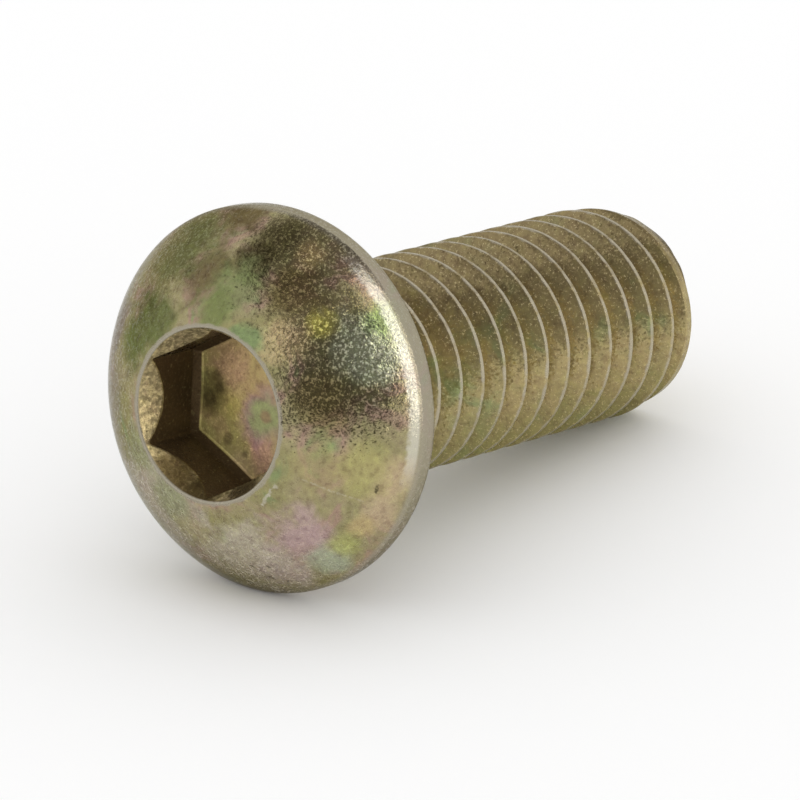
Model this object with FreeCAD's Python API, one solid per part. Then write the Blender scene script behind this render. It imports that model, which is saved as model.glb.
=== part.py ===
import FreeCAD, Part
import math
import os

# Button head screw with a hexagon socket, M6 x 1, nominal length 16.
# Sizes are in millimetres. The screw is drawn upright on its own axis: Z is 0 on the face
# under the head, grows towards the tip, and is negative inside the head. X is the side
# that touches the floor once the screw lies down.

# Head
HEAD_DIAMETER = 10.5
HEAD_HEIGHT = 3.2
HEAD_BAND = 0.65
UNDER_EDGE_ROUND = 0.3
UNDER_HEAD_FILLET = 0.3

# Socket
KEY_SIZE = 4.0
SOCKET_DEPTH = 2.15
SOCKET_MOUTH_DIAMETER = 4.7
MOUTH_HALF_ANGLE = 28.0
SOCKET_FLOOR_BEVEL = 0.22
SOCKET_TURN = -3.4

# Shank and thread
LENGTH = 15.75
NOMINAL_DIAMETER = 6.0
THREAD_ALLOWANCE = 0.03
PITCH = 1.0
FLANK_ANGLE = 30.0
THREAD_DEPTH = 0.613 * PITCH
CREST_FLAT = PITCH / 8
FULL_GROOVE_START = 1.927
FADE_IN_ANGLE = 270.0
TIP_TAPER_LENGTH = 1.42
TIP_TAPER_DROP = 0.4
TIP_EDGE_BEVEL = 0.12

# How finely the helix is drawn, and how far a cutting body stands proud of what it cuts
SECTION_STEP = 30.0
PROUD = 0.03
# Keeps the start line of the turned body clear of the ends of the thread's turns
SEAM_TURN = 137.0

HEAD_RADIUS = HEAD_DIAMETER / 2
CREST_RADIUS = (NOMINAL_DIAMETER - THREAD_ALLOWANCE) / 2
ROOT_RADIUS = CREST_RADIUS - THREAD_DEPTH
MOUTH_RADIUS = SOCKET_MOUTH_DIAMETER / 2
TAPER_START = LENGTH - TIP_TAPER_LENGTH
TIP_RADIUS = CREST_RADIUS - TIP_TAPER_DROP
ORIGIN = FreeCAD.Vector(0, 0, 0)
AXIS = FreeCAD.Vector(0, 0, 1)
SIDE = FreeCAD.Vector(0, 1, 0)


def at(radius, z):
    """A point of a turned outline."""
    return FreeCAD.Vector(radius, 0, z)


def dome_arc():
    """The arc of the head's dome, centred on the screw's axis."""
    rim_z = HEAD_HEIGHT
    band_z = HEAD_BAND
    spread = HEAD_RADIUS**2 + band_z**2 - MOUTH_RADIUS**2 - rim_z**2
    centre_z = -spread / (2 * (rim_z - band_z))
    radius = math.hypot(HEAD_RADIUS, band_z - centre_z)
    first = math.atan2(band_z - centre_z, HEAD_RADIUS)
    last = math.atan2(rim_z - centre_z, MOUTH_RADIUS)
    middle = (first + last) / 2
    top_of_arc = at(radius * math.cos(middle), -(centre_z + radius * math.sin(middle)))
    return Part.Arc(at(HEAD_RADIUS, -band_z), top_of_arc, at(MOUTH_RADIUS, -rim_z)).toShape()


def round_corner(centre, radius, angles):
    """Points along a small rounded edge, which is drawn as two bevels."""
    points = []
    for angle in angles:
        turn = math.radians(angle)
        points.append(centre + at(math.cos(turn), math.sin(turn)) * radius)
    return points


def shank_side():
    """Corners of the shank's outline from its end back to its fillet."""
    tip = [
        at(0, LENGTH),
        at(TIP_RADIUS - TIP_EDGE_BEVEL, LENGTH),
        at(TIP_RADIUS, LENGTH - TIP_EDGE_BEVEL),
        at(CREST_RADIUS, TAPER_START),
    ]
    fillet = UNDER_HEAD_FILLET
    return tip + round_corner(at(CREST_RADIUS + fillet, fillet), fillet, (180, 225, 270))


def head_side():
    """Corners of the outline round the rim of the head, from below up to the dome."""
    edge = UNDER_EDGE_ROUND
    rolled_edge = round_corner(at(HEAD_RADIUS - edge, -edge), edge, (90, 45, 0))
    return rolled_edge + [at(HEAD_RADIUS, -HEAD_BAND)]


def turned_blank():
    """Head and shank before the socket and the thread are made."""
    flat_top = [at(MOUTH_RADIUS, -HEAD_HEIGHT), at(0, -HEAD_HEIGHT)]
    outline = Part.makePolygon(flat_top + shank_side() + head_side())
    blank = Part.Face(Part.Wire(outline.Edges + [dome_arc()])).revolve(ORIGIN, AXIS, 360)
    blank.rotate(ORIGIN, AXIS, SEAM_TURN)
    return blank


def hexagon_punch():
    """The body that leaves the hexagon, with its bevelled nose towards the tip."""
    corner_radius = KEY_SIZE / 2 / math.cos(math.radians(30))
    floor_z = SOCKET_DEPTH - HEAD_HEIGHT
    back_z = -HEAD_HEIGHT - 1
    corners = []
    for corner in range(7):
        angle = math.radians(SOCKET_TURN + 60 * corner)
        x = corner_radius * math.cos(angle)
        y = corner_radius * math.sin(angle)
        corners.append(FreeCAD.Vector(x, y, back_z))
    prism = Part.Face(Part.makePolygon(corners)).extrude(AXIS * (floor_z - back_z))
    nose_edges = [edge for edge in prism.Edges if edge.BoundBox.ZMin > floor_z - 0.01]
    return prism.makeChamfer(SOCKET_FLOOR_BEVEL, nose_edges)


def mouth_cone():
    """The countersink that leaves a crescent above each of the six flats."""
    inner_radius = KEY_SIZE / 2 - 0.1
    slope = math.tan(math.radians(MOUTH_HALF_ANGLE))
    depth = (MOUTH_RADIUS - inner_radius) / slope
    outer_radius = MOUTH_RADIUS + PROUD * slope
    start = at(0, -HEAD_HEIGHT - PROUD)
    return Part.makeCone(outer_radius, inner_radius, depth + PROUD, start, AXIS)


def groove_section(angle, lift):
    """One cut through the thread's groove, in the half plane at this angle."""
    slope = math.tan(math.radians(FLANK_ANGLE))
    crest_half = (PITCH - CREST_FLAT) / 2
    root_half = crest_half - THREAD_DEPTH * slope
    floor_radius = ROOT_RADIUS + lift
    outer_radius = CREST_RADIUS + PROUD + lift
    outer_half = crest_half + PROUD * slope
    centre_z = FULL_GROOVE_START + PITCH * angle / 360
    turn = math.radians(angle)
    across = FreeCAD.Vector(math.cos(turn), math.sin(turn), 0)
    points = []
    for radius, half in ((floor_radius, root_half), (outer_radius, outer_half)):
        points.append(across * radius + AXIS * (centre_z + half))
    for radius, half in ((outer_radius, outer_half), (floor_radius, root_half)):
        points.append(across * radius + AXIS * (centre_z - half))
    return Part.makePolygon(points + points[:1])


def fade_in(angle):
    """How far the groove still stands out of the shank where the thread begins."""
    share = max(0.0, -angle / FADE_IN_ANGLE)
    return (THREAD_DEPTH + 2 * PROUD) * share**2 * (3 - 2 * share)


def groove_piece(first_angle, last_angle):
    """A stretch of the groove, as a body to cut away."""
    steps = round((last_angle - first_angle) / SECTION_STEP)
    sections = []
    for step in range(steps + 1):
        angle = first_angle + step * SECTION_STEP
        sections.append(groove_section(angle, fade_in(angle)))
    return Part.makeLoft(sections, True, False)


def cut_thread(blank):
    """Cut the groove turn by turn, past the tip, with its shallow start at the neck."""
    body = blank.cut(groove_piece(-FADE_IN_ANGLE, 0))
    turns = math.ceil((LENGTH + PITCH / 2 - FULL_GROOVE_START) / PITCH)
    for turn in range(turns):
        body = body.cut(groove_piece(360 * turn, 360 * (turn + 1)))
    return body


def make_screw():
    blank = turned_blank().cut(mouth_cone()).cut(hexagon_punch())
    return cut_thread(blank).Solids[0]


def crest_reach(tilt):
    """How far below the axis the thread reaches when the tip hangs down by this angle."""
    taper = TIP_TAPER_DROP / (TIP_TAPER_LENGTH - TIP_EDGE_BEVEL)
    crest = FULL_GROOVE_START + PITCH / 2
    reach = 0.0
    while crest < LENGTH:
        for z in (crest - CREST_FLAT / 2, crest + CREST_FLAT / 2):
            radius = CREST_RADIUS - taper * max(0.0, z - TAPER_START)
            reach = max(reach, z * math.sin(tilt) + radius * math.cos(tilt))
        crest += PITCH
    return reach


def head_reach(tilt):
    """How far below the axis the rim of the head reaches at this tilt."""
    return HEAD_RADIUS * math.cos(tilt) - UNDER_EDGE_ROUND * math.sin(tilt)


def resting_tilt():
    """The tilt at which the head's rim and a crest near the tip both touch the floor."""
    low = 0.0
    high = math.radians(20)
    for _ in range(60):
        middle = (low + high) / 2
        if head_reach(middle) > crest_reach(middle):
            low = middle
        else:
            high = middle
    return middle


def lay_down(screw):
    """Rest the screw on the floor, head towards -X, over the middle of its own outline."""
    screw = screw.copy()
    screw.rotate(ORIGIN, SIDE, 90 + math.degrees(resting_tilt()))
    screw.translate(FreeCAD.Vector(0, 0, head_reach(resting_tilt())))
    box = screw.optimalBoundingBox(False, False)
    screw.translate(FreeCAD.Vector(-box.Center.x, -box.Center.y, -box.ZMin))
    return screw


os.makedirs("parts", exist_ok=True)
lay_down(make_screw()).exportStep("parts/screw.step")
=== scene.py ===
import logging
import math
from dataclasses import dataclass
from enum import Enum
from typing import Iterable, Union

import bmesh
import bpy
from mathutils import Matrix, Vector, noise


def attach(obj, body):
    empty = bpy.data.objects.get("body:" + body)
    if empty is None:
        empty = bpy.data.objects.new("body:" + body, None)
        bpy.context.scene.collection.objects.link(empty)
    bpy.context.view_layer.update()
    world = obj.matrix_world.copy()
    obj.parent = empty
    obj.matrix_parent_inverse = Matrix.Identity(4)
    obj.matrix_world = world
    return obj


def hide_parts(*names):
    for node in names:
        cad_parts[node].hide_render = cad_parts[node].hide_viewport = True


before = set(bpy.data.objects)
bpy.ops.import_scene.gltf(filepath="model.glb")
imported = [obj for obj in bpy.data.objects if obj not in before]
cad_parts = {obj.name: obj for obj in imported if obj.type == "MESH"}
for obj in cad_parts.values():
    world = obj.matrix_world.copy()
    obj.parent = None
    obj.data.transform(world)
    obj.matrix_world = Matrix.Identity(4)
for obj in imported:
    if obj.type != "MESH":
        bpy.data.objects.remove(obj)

# A button head screw with a hexagon socket, M6 x 1, in iridescent yellow zinc plating. Its
# shape is worked out in millimetres on the screw's own axis: Z is 0 on the face under the
# head, grows towards the tip, and is negative inside the head.

log = logging.getLogger("screw")
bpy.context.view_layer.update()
MM = 0.001
# Two points closer than this are one point, and a cut this close to a point goes through it
SAME_POINT = 1e-3
CUT_REACH = 1e-4
Socket = Union[bpy.types.NodeSocket, float, tuple, Vector]


class Zone(Enum):
    """The areas of the screw that are dressed apart, with their places on the mesh."""

    THREAD = 0
    HEAD = 1
    SOCKET = 2


@dataclass(frozen=True)
class RestingPlace:
    """How the screw lies: where its bearing face is centred, and how far its tip droops."""

    centre_mm: tuple = (-6.2096, 0.0, 5.1428)
    droop_deg: float = 8.8207

    @property
    def turn(self) -> float:
        """The turn about the Y axis, in radians, that lays the upright screw down."""
        return math.radians(90.0 + self.droop_deg)

    def to_frame(self) -> Matrix:
        """Returns: the matrix from millimetres on the screw's axis to the frame's metres."""
        lay = Matrix.Rotation(self.turn, 4, "Y")
        return Matrix.Scale(MM, 4) @ Matrix.Translation(self.centre_mm) @ lay

    def back_shift(self) -> Vector:
        """Returns: the shift, in millimetres, that brings a turned-back point to the axis."""
        return Matrix.Rotation(-self.turn, 3, "Y") @ -Vector(self.centre_mm)


def rounded(before: Vector, corner: Vector, after: Vector, radius: float, parts: int) -> list:
    """Points along the rounding of one corner of an outline.

    Args:
        before: the outline's point before the corner, as radius and height.
        corner: the sharp corner.
        after: the outline's point after it.
        radius: the rounding's radius in millimetres.
        parts: how many straight pieces it is drawn with.

    Returns: parts + 1 points, from the side of `before` to the side of `after`.
    """
    back = (before - corner).normalized()
    ahead = (after - corner).normalized()
    half = back.angle(ahead) / 2
    reach = radius / math.tan(half)
    centre = corner + (back + ahead).normalized() * (radius / math.sin(half))
    first = corner + back * reach - centre
    last = corner + ahead * reach - centre
    arms = [first.slerp(last, step / parts).normalized() for step in range(parts + 1)]
    return [centre + arm * radius for arm in arms]


def between(first: Vector, last: Vector, parts: int) -> list:
    """Returns: the points that divide a straight stretch, without its two ends."""
    return [first.lerp(last, step / parts) for step in range(1, parts)]


def smooth_step(share: float) -> float:
    """Returns: a share from 0 to 1, eased at both ends."""
    share = min(1.0, max(0.0, share))
    return share * share * (3 - 2 * share)


def spun(mesh: bmesh.types.BMesh, outline: list, steps: int, rise: float = 0.0) -> None:
    """Draws an outline in the XZ plane and spins it once about Z.

    Args:
        mesh: the mesh that it is added to.
        outline: points as radius and height.
        steps: how many steps the turn has.
        rise: how far it climbs in the turn; with none, it closes on itself.
    """
    points = [mesh.verts.new((point[0], 0.0, point[1])) for point in outline]
    lines = [mesh.edges.new(pair) for pair in zip(points, points[1:])]
    bmesh.ops.spin(
        mesh,
        geom=points + lines,
        cent=(0, 0, 0),
        axis=(0, 0, 1),
        dvec=(0, 0, rise / steps),
        angle=math.tau,
        steps=steps,
        use_merge=rise == 0,
        use_duplicate=False,
    )


def added(items: Iterable, known: set) -> list:
    """Returns: the vertices or faces that were not yet known."""
    return [item for item in items if item not in known]


def mark(faces: Iterable, zone: Zone) -> None:
    """Gives these faces to one zone."""
    for face in faces:
        face.material_index = zone.value


@dataclass
class ThreadedShank:
    """The shank with its rolled M6 x 1 thread, from the neck to the tapered tip."""

    length: float = 15.75
    crest_radius: float = 2.985
    pitch: float = 1.0
    depth: float = 0.613
    flank_deg: float = 30.0
    crest_round: float = 0.045
    root_round: float = 0.14
    groove_start: float = 1.927
    fade_in_turns: float = 0.75
    fade_in_lift: float = 0.673
    neck: float = 0.52
    taper_length: float = 1.42
    taper_slope: float = 0.18
    end_round_length: float = 0.42
    end_radius: float = 2.47
    end_rings: tuple = (1, 0.8, 0.6, 0.42, 0.27, 0.15, 0.06, 0.015)
    spare_turns: int = 2
    steps: int = 120

    def half_rib(self) -> list:
        """Returns: one side of a groove's outline, from mid-crest down to mid-groove."""
        crest_z = -self.pitch / 2
        crest_edge = Vector((self.crest_radius, crest_z + self.pitch / 16))
        fall = self.depth * math.tan(math.radians(self.flank_deg))
        root = self.crest_radius - self.depth
        root_edge = Vector((root, crest_edge[1] + fall))
        top = Vector((self.crest_radius, crest_z))
        bottom = Vector((root, 0.0))
        shoulder = rounded(top, crest_edge, root_edge, self.crest_round, 3)
        foot = rounded(crest_edge, root_edge, bottom, self.root_round, 3)
        return [top] + shoulder + between(shoulder[-1], foot[0], 4) + foot + [bottom]

    def rib(self) -> list:
        """Returns: the outline of one groove, from mid-crest to mid-crest."""
        half = self.half_rib()
        other = [Vector((point[0], -point[1])) for point in reversed(half[:-1])]
        return half + other

    def taper_radius(self, height: float) -> float:
        """How far out the tapered tip leaves the metal.

        Args:
            height: the place along the axis.

        Returns: the largest radius there.
        """
        start = self.length - self.taper_length
        round_start = self.length - self.end_round_length
        along = max(0.0, min(height, round_start) - start)
        radius = self.crest_radius - self.taper_slope * along
        over = max(0.0, height - round_start) / self.end_round_length
        drop = radius - self.end_radius
        return radius - drop * (1 - math.sqrt(max(0.0, 1 - over * over)))

    def shaped(self, point: Vector) -> Vector:
        """Where a point of the endless thread ends up, with its start and its tip.

        Args:
            point: a point of the evenly threaded bar.

        Returns: the point moved in or out, so that the groove fades in at the neck and
            the crests follow the taper of the tip.
        """
        turned = math.atan2(point.y, point.x) / math.tau
        climbed = (point.z - self.groove_start) / self.pitch
        turns = turned + round(climbed - turned)
        lift = self.fade_in_lift * smooth_step(-turns / self.fade_in_turns)
        radius = math.hypot(point.x, point.y)
        limit = min(self.crest_radius, self.taper_radius(point.z))
        wanted = min(radius + lift, limit)
        return Vector((point.x * wanted / radius, point.y * wanted / radius, point.z))

    def build(self, mesh: bmesh.types.BMesh) -> None:
        """Adds the shank, open at the neck and closed at the tip.

        Args:
            mesh: the mesh that it is added to.
        """
        above = math.ceil((self.length - self.groove_start) / self.pitch + 1)
        start = self.groove_start - self.spare_turns * self.pitch
        outline = [point + Vector((0.0, start)) for point in self.rib()]
        spun(mesh, outline, self.steps, self.pitch)
        first_turn = mesh.verts[:] + mesh.edges[:] + mesh.faces[:]
        for turn in range(1, self.spare_turns + above):
            copy = bmesh.ops.duplicate(mesh, geom=first_turn)["geom"]
            points = [item for item in copy if isinstance(item, bmesh.types.BMVert)]
            bmesh.ops.translate(mesh, vec=(0, 0, turn * self.pitch), verts=points)
        bmesh.ops.remove_doubles(mesh, verts=mesh.verts[:], dist=SAME_POINT)
        self.slice(mesh, self.length - self.taper_length)
        for share in self.end_rings:
            self.slice(mesh, self.length - self.end_round_length * share)
        self.slice(mesh, self.neck, drop_below=True)
        self.slice(mesh, self.length, drop_above=True)
        for vert in mesh.verts:
            vert.co = self.shaped(vert.co)
        middle = self.length / 2
        rim = [e for e in mesh.edges if e.is_boundary and e.verts[0].co.z > middle]
        end = bmesh.ops.holes_fill(mesh, edges=rim, sides=0)["faces"]
        bmesh.ops.triangulate(mesh, faces=end)
        mark(mesh.faces, Zone.THREAD)

    def slice(
        self,
        mesh: bmesh.types.BMesh,
        height: float,
        drop_below: bool = False,
        drop_above: bool = False,
    ) -> None:
        """Cuts the shank across, and can drop what lies beyond the cut.

        Args:
            mesh: the shank's mesh.
            height: the place of the cut along the axis.
            drop_below: whether the head's side goes.
            drop_above: whether the tip's side goes.
        """
        bmesh.ops.bisect_plane(
            mesh,
            geom=mesh.verts[:] + mesh.edges[:] + mesh.faces[:],
            dist=CUT_REACH,
            plane_co=(0, 0, height),
            plane_no=(0, 0, 1),
            clear_inner=drop_below,
            clear_outer=drop_above,
        )


@dataclass
class ButtonHead:
    """The low domed head, from its neck round the rim to the lip of the socket."""

    radius: float = 5.2465
    height: float = 3.2
    band: float = 0.65
    under_round: float = 0.3
    rim_round: float = 0.16
    neck_radius: float = 2.985
    neck_fillet: float = 0.3
    neck_end: float = 0.42
    mouth_radius: float = 2.35
    dome_parts: int = 44
    turn_deg: float = -3.4
    columns: int = 192

    def dome_arc(self) -> tuple:
        """Returns: the height of the dome's centre on the axis, and the dome's radius."""
        spread = self.radius**2 + self.band**2 - self.mouth_radius**2 - self.height**2
        centre = spread / (2 * (self.height - self.band))
        return centre, math.hypot(self.radius, self.band + centre)

    def dome(self) -> list:
        """Returns: points along the dome's arc, from the band to the mouth."""
        centre, size = self.dome_arc()
        first = math.atan2(self.band + centre, self.radius)
        last = math.atan2(self.height + centre, self.mouth_radius)
        points = []
        for step in range(self.dome_parts + 1):
            angle = first + (last - first) * step / self.dome_parts
            points.append(Vector((size * math.cos(angle), centre - size * math.sin(angle))))
        return points

    def outline(self) -> list:
        """Returns: the head's outline, from the neck up to just short of the mouth.

        The rim's rounding ends on the dome, so the dome's first points are left out.
        """
        fillet = self.neck_fillet
        inner = Vector((self.neck_radius, 0.0))
        under = Vector((self.radius, 0.0))
        neck = Vector((self.neck_radius, self.neck_end))
        dome = self.dome()
        foot = rounded(neck, inner, under, fillet, 6)
        edge = rounded(inner, under, dome[0], self.under_round, 7)
        rim = rounded(under, dome[0], dome[4], self.rim_round, 4)
        face = between(foot[-1], edge[0], 8)
        return [neck] + foot + face + edge + between(edge[-1], rim[0], 3) + rim + dome[2:-1]

    def build(self, mesh: bmesh.types.BMesh) -> None:
        """Adds the head, open at the neck and at the mouth of the socket.

        Args:
            mesh: the mesh that it is added to.
        """
        known = set(mesh.verts) | set(mesh.faces)
        lip = KeySocket().column(0.0)[0]
        spun(mesh, self.outline() + [lip], self.columns)
        turn = Matrix.Rotation(math.radians(self.turn_deg), 3, "Z")
        bmesh.ops.rotate(mesh, cent=(0, 0, 0), matrix=turn, verts=added(mesh.verts, known))
        mark(added(mesh.faces, known), Zone.HEAD)


@dataclass
class KeySocket:
    """The hexagon socket with its countersunk mouth and its bevelled floor."""

    key_size: float = 4.0
    depth: float = 2.15
    mouth_half_angle: float = 28.0
    floor_bevel: float = 0.22
    corner_round: float = 0.12
    lip_round: float = 0.05
    edge_round: float = 0.03
    foot_round: float = 0.04
    floor_rings: tuple = (0.93, 0.84, 0.74, 0.63, 0.51, 0.38, 0.25, 0.12, 0.0)
    corner_gather: float = 0.105
    even_rings: tuple = (9, 8)
    turn_deg: float = -3.4
    columns: int = 192

    def hexagon_radius(self, angle: float) -> float:
        """How far the hexagon's wall is from the axis.

        Args:
            angle: the angle from one of its corners, in radians.

        Returns: the radius at that angle.
        """
        flat = self.key_size / 2
        off = abs((angle + math.pi / 6) % (math.pi / 3) - math.pi / 6)
        straight = (flat - self.corner_round) * math.tan(math.pi / 6)
        if off >= math.pi / 6 - math.atan(straight / flat):
            return flat / math.cos(math.pi / 6 - off)
        corner = (flat - self.corner_round) / math.cos(math.pi / 6)
        across = corner * math.sin(off)
        return corner * math.cos(off) + math.sqrt(self.corner_round**2 - across**2)

    def column(self, angle: float) -> list:
        """One cut through the socket, down from its lip.

        Args:
            angle: the angle from one of the hexagon's corners, in radians.

        Returns: the points of the outline, as radius and height, from the lip to mid-floor.
        """
        head = ButtonHead()
        dome_end = head.dome()[-3]
        mouth = Vector((head.mouth_radius, -head.height))
        side = self.hexagon_radius(angle)
        slope = math.tan(math.radians(self.mouth_half_angle))
        floor = self.depth - head.height
        brink = Vector((side, -head.height + (head.mouth_radius - side) / slope))
        foot = Vector((side, floor - self.floor_bevel))
        hem = Vector((side - self.floor_bevel, floor))
        lip = rounded(dome_end, mouth, brink, self.lip_round, 4)
        fall = (brink - lip[-1]).length
        edge = rounded(mouth, brink, foot, min(self.edge_round, fall), 2)
        toe = rounded(brink, foot, hem, self.foot_round, 2)
        last = rounded(foot, hem, Vector((0.0, floor)), self.foot_round, 2)
        points = lip + between(lip[-1], edge[0], 4) + edge + between(edge[-1], toe[0], 6)
        points += toe + between(toe[-1], last[0], 2) + last
        rings = [Vector((last[-1][0] * share, floor)) for share in self.floor_rings]
        return points + rings

    def build(self, mesh: bmesh.types.BMesh) -> None:
        """Adds the socket: a plain tube, with each of its rings then set to its place.

        The columns gather at the hexagon's corners, and are even at the lip and on the floor.

        Args:
            mesh: the mesh that it is added to.
        """
        known = set(mesh.verts) | set(mesh.faces)
        rings = len(self.column(0.0))
        far_off = 100.0
        tube = [Vector((1.0, far_off + ring)) for ring in range(rings)]
        spun(mesh, tube, self.columns)
        fresh = added(mesh.verts, known)
        columns = {}
        for vert in fresh:
            ring = round(vert.co.z - far_off)
            index = round(math.atan2(vert.co.y, vert.co.x) / math.tau * self.columns)
            gather = smooth_step(ring / self.even_rings[0])
            gather *= smooth_step((rings - 1 - ring) / self.even_rings[1])
            even = math.tau * index / self.columns
            angle = even - self.corner_gather * gather * math.sin(6 * even)
            key = (index, round(gather, 5))
            if key not in columns:
                columns[key] = self.column(angle)
            point = columns[key][ring]
            vert.co = (point[0] * math.cos(angle), point[0] * math.sin(angle), point[1])
        turn = Matrix.Rotation(math.radians(self.turn_deg), 3, "Z")
        bmesh.ops.rotate(mesh, cent=(0, 0, 0), matrix=turn, verts=fresh)
        mark(added(mesh.faces, known), Zone.SOCKET)


class Bench:
    """Adds and wires the nodes of one material or of the world."""

    def __init__(self, tree: bpy.types.NodeTree) -> None:
        """Args: tree: the node tree, which is emptied first."""
        self.tree = tree
        tree.nodes.clear()

    def node(self, kind: str, **settings: object) -> bpy.types.Node:
        """Adds one node.

        Args:
            kind: the node's type.
            settings: the properties to set on it.

        Returns: the new node.
        """
        made = self.tree.nodes.new(kind)
        for name, value in settings.items():
            setattr(made, name, value)
        return made

    def feed(self, inlet: bpy.types.NodeSocket, value: Socket) -> None:
        """Links a socket to an inlet, or sets the inlet's value.

        Args:
            inlet: the input of a node.
            value: an output of another node, or a plain value.
        """
        if isinstance(value, bpy.types.NodeSocket):
            self.tree.links.new(value, inlet)
        else:
            inlet.default_value = value

    def sum(self, kind: str, *values: Socket, clamp: bool = False) -> Socket:
        """One step of arithmetic on numbers.

        Args:
            kind: the operation.
            values: what it works on.
            clamp: whether it ends at 0 and 1.

        Returns: the result.
        """
        step = self.node("ShaderNodeMath", operation=kind, use_clamp=clamp)
        for inlet, value in zip(step.inputs, values):
            self.feed(inlet, value)
        return step.outputs[0]

    def vector(self, kind: str, *values: Socket) -> Socket:
        """One step of arithmetic on vectors.

        Args:
            kind: the operation.
            values: what it works on.

        Returns: the result, which is a number for a length, a distance or a dot product.
        """
        step = self.node("ShaderNodeVectorMath", operation=kind)
        inlets = [i for i in step.inputs if i.name != "Scale"]
        for inlet, value in zip(inlets, values):
            self.feed(inlet, value)
        number = kind in ("LENGTH", "DISTANCE", "DOT_PRODUCT")
        return step.outputs["Value" if number else "Vector"]

    def product(self, *values: Socket) -> Socket:
        """Multiplies numbers together.

        Args:
            values: two or more numbers.

        Returns: their product.
        """
        result = values[0]
        for value in values[1:]:
            result = self.sum("MULTIPLY", result, value)
        return result

    def scaled(self, vector: Socket, amount: Socket) -> Socket:
        """Makes a vector longer or shorter.

        Args:
            vector: the vector.
            amount: how many times as long it gets.

        Returns: the new vector.
        """
        step = self.node("ShaderNodeVectorMath", operation="SCALE")
        self.feed(step.inputs[0], vector)
        self.feed(step.inputs["Scale"], amount)
        return step.outputs[0]

    def split(self, vector: Socket) -> tuple:
        """Takes a vector apart.

        Args:
            vector: the vector.

        Returns: its X, Y and Z.
        """
        parts = self.node("ShaderNodeSeparateXYZ")
        self.feed(parts.inputs[0], vector)
        return tuple(parts.outputs)

    def ease(self, value: Socket, low: float, high: float) -> Socket:
        """A share that eases in between two limits.

        Args:
            value: what is looked at.
            low: where the share is 0; it may be the larger limit.
            high: where the share is 1.

        Returns: the share.
        """
        step = self.node("ShaderNodeMapRange", interpolation_type="SMOOTHSTEP", clamp=True)
        self.feed(step.inputs["Value"], value)
        if low <= high:
            self.feed(step.inputs["From Min"], low)
            self.feed(step.inputs["From Max"], high)
            return step.outputs["Result"]
        self.feed(step.inputs["From Min"], high)
        self.feed(step.inputs["From Max"], low)
        return self.sum("SUBTRACT", 1.0, step.outputs["Result"])

    def grain(
        self,
        where: Socket,
        size: float,
        detail: float = 2.0,
        rough: float = 0.5,
        warp: float = 0.0,
    ) -> Socket:
        """A cloudy pattern.

        Args:
            where: the place on the surface, in the unit of the size.
            size: about how wide its clouds are.
            detail: how many finer layers it has.
            rough: how strong the finer layers are.
            warp: how far it is bent out of shape.

        Returns: the pattern, around 0.5.
        """
        cloud = self.node("ShaderNodeTexNoise", noise_dimensions="3D")
        self.feed(cloud.inputs["Vector"], where)
        self.feed(cloud.inputs["Scale"], 1.0 / size)
        self.feed(cloud.inputs["Detail"], detail)
        self.feed(cloud.inputs["Roughness"], rough)
        self.feed(cloud.inputs["Distortion"], warp)
        return cloud.outputs["Fac"]

    def sway(
        self,
        where: Socket,
        size: float,
        reach: float,
        detail: float = 3.0,
        rough: float = 0.6,
        warp: float = 0.0,
    ) -> Socket:
        """A number that wanders from place to place.

        Args:
            where: the place on the surface.
            size: about how wide its clouds are.
            reach: how far it goes, by half to either side of 0.
            detail: how many finer layers it has.
            rough: how strong the finer layers are.
            warp: how far it is bent out of shape.

        Returns: the number.
        """
        cloud = self.grain(where, size, detail, rough, warp)
        return self.sum("MULTIPLY_ADD", cloud, reach, -reach / 2)

    def ramp(self, value: Socket, stops: tuple) -> Socket:
        """Picks a colour along some stops.

        Args:
            value: the place along them.
            stops: places, each with its colour.

        Returns: the colour.
        """
        scale = self.node("ShaderNodeValToRGB")
        scale.color_ramp.interpolation = "EASE"
        points = scale.color_ramp.elements
        while len(points) < len(stops):
            points.new(0.5)
        for point, (place, colour) in zip(points, stops):
            point.position = place
            point.color = (*colour, 1.0)
        self.feed(scale.inputs["Fac"], value)
        return scale.outputs["Color"]

    def blend(self, share: Socket, under: Socket, over: Socket, kind: str = "MIX") -> Socket:
        """Lays one colour over another.

        Args:
            share: how far the upper one covers.
            under: the lower colour.
            over: the upper colour.
            kind: how they mix.

        Returns: the colour that shows.
        """
        mix = self.node("ShaderNodeMix", data_type="RGBA", blend_type=kind)
        self.feed(mix.inputs["Factor"], share)
        for inlet, value in ((mix.inputs[6], under), (mix.inputs[7], over)):
            if isinstance(value, tuple):
                value = (*value, 1.0)
            self.feed(inlet, value)
        return mix.outputs[2]

    def finish(self, surface: Socket) -> None:
        """Sends the finished surface to the material's output."""
        done = self.node("ShaderNodeOutputMaterial")
        self.feed(done.inputs["Surface"], surface)


def new_material(name: str) -> tuple:
    """Starts a material.

    Args:
        name: the material's name.

    Returns: the material and the bench for its nodes.
    """
    material = bpy.data.materials.new(name)
    material.use_nodes = True
    return material, Bench(material.node_tree)


def tint(red: int, green: int, blue: int) -> tuple:
    """A colour as the shaders want it, by the usual curve of a screen's colours.

    Args:
        red: from 0 to 255, as the others are.
        green: the second part.
        blue: the third part.

    Returns: the three parts from 0 to 1.
    """
    values = (red / 255, green / 255, blue / 255)
    return tuple(v / 12.92 if v <= 0.04045 else ((v + 0.055) / 1.055) ** 2.4 for v in values)


@dataclass(frozen=True)
class ColourPatch:
    """A round patch of colour: drifts of the passivation, and in places painted light and
    shade.
    """

    place: tuple
    radius: float
    colour: tuple
    strength: float = 0.8


@dataclass(frozen=True)
class Scratch:
    """A fine pale or dark line across the plating."""

    start: tuple
    end: tuple
    width: float
    colour: tuple
    strength: float = 0.8


# Colour patches on the head, mostly drifts of the passivation. The first three, pale and low on
# the dome towards the floor, are painted light that lifts the dome where it reflects the
# floor's shadow. The green one at (-3.2, -3.9) beside the bright arc at the rim partly stands
# for a painted highlight.
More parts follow.
